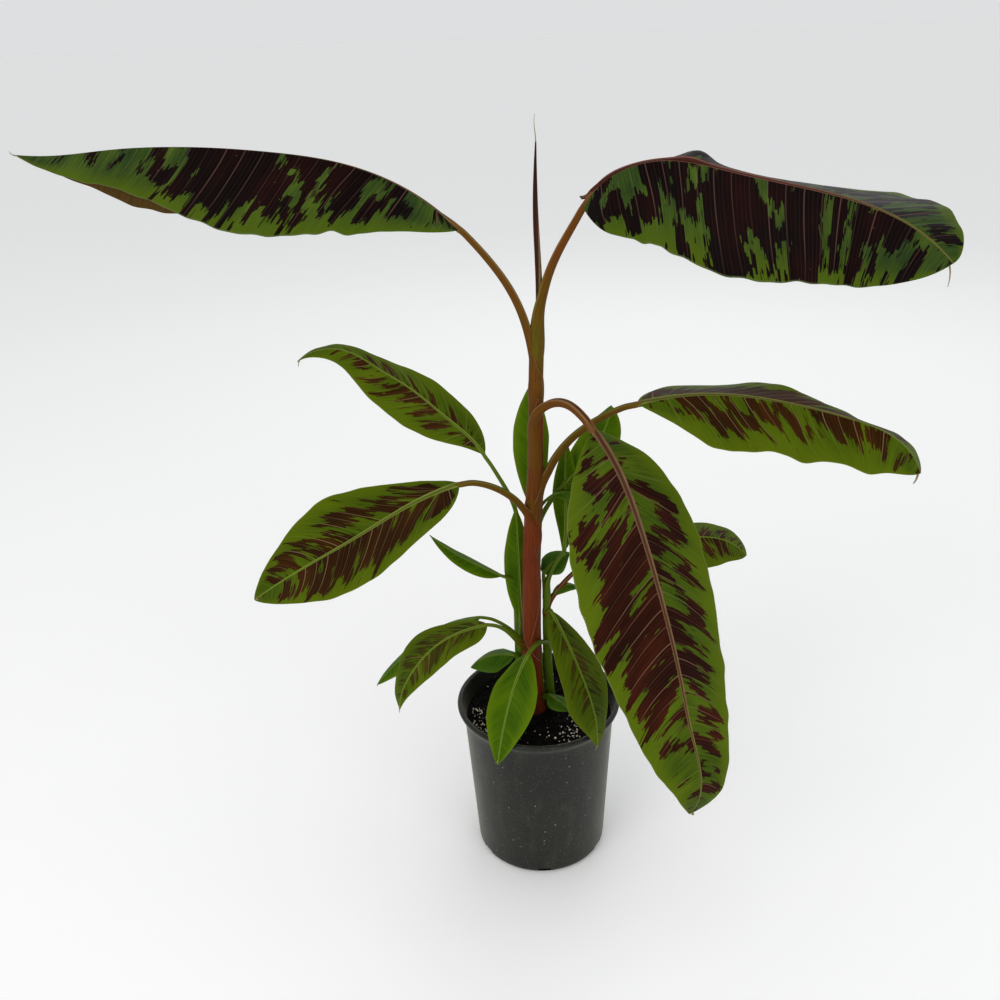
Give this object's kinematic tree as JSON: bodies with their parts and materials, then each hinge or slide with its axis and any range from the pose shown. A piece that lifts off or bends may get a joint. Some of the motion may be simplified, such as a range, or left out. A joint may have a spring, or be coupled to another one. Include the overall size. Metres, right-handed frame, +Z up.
{
  "type": "potted banana plant",
  "caption": "Young potted banana plant with large arching green leaves blotched dark maroon, a slim red-brown stem, small suckers and a tapered grey nursery pot.",
  "frame": {"origin": "centre of the flat underside of the pot", "axes": "+Z up; +X towards the high right leaf, the right of the pictured view; +Y away from that view's camera"},
  "size_m": [0.742, 0.2759, 0.7181],
  "materials": {
    "pot": "satin",
    "soil": "matte",
    "main_stem": "satin",
    "sucker": "satin",
    "petiole": "satin",
    "spear": "satin",
    "blade_maroon": "satin",
    "blade_mottled": "satin",
    "blade_green": "satin",
    "blade_dark": "satin"
  },
  "bodies": {
    "root": {"pot": "pot", "soil": "soil", "main_stem": "main_stem", "sucker_right": "sucker", "sucker_left": "sucker", "sucker_back": "sucker", "petiole_high_left": "petiole", "blade_high_left": "blade_maroon", "petiole_high_right": "petiole", "blade_high_right": "blade_maroon", "petiole_mid_right": "petiole", "blade_mid_right": "blade_mottled", "petiole_front": "petiole", "blade_front": "blade_maroon", "petiole_upper_left": "petiole", "blade_upper_left": "blade_mottled", "petiole_mid_left": "petiole", "blade_mid_left": "blade_mottled", "petiole_small_left": "petiole", "blade_small_left": "blade_green", "petiole_upright_back": "petiole", "blade_upright_back": "blade_green", "petiole_upright_left": "petiole", "blade_upright_left": "blade_green", "petiole_low_left": "petiole", "blade_low_left": "blade_mottled", "petiole_low_left_back": "petiole", "blade_low_left_back": "blade_green", "petiole_base_left": "petiole", "blade_base_left": "blade_dark", "petiole_pot_front": "petiole", "blade_pot_front": "blade_green", "petiole_pot_right": "petiole", "blade_pot_right": "blade_mottled", "petiole_upright_right": "petiole", "blade_upright_right": "blade_green", "petiole_upright_dark": "petiole", "blade_upright_dark": "blade_dark", "petiole_back_right": "petiole", "blade_back_right": "blade_mottled", "petiole_dark_mid": "petiole", "blade_dark_mid": "blade_dark", "petiole_tiny_right": "petiole", "blade_tiny_right": "blade_dark", "petiole_tiny_upper": "petiole", "blade_tiny_upper": "blade_dark", "petiole_at_soil": "petiole", "blade_at_soil": "blade_dark", "spear": "spear"}
  },
  "joints": []
}
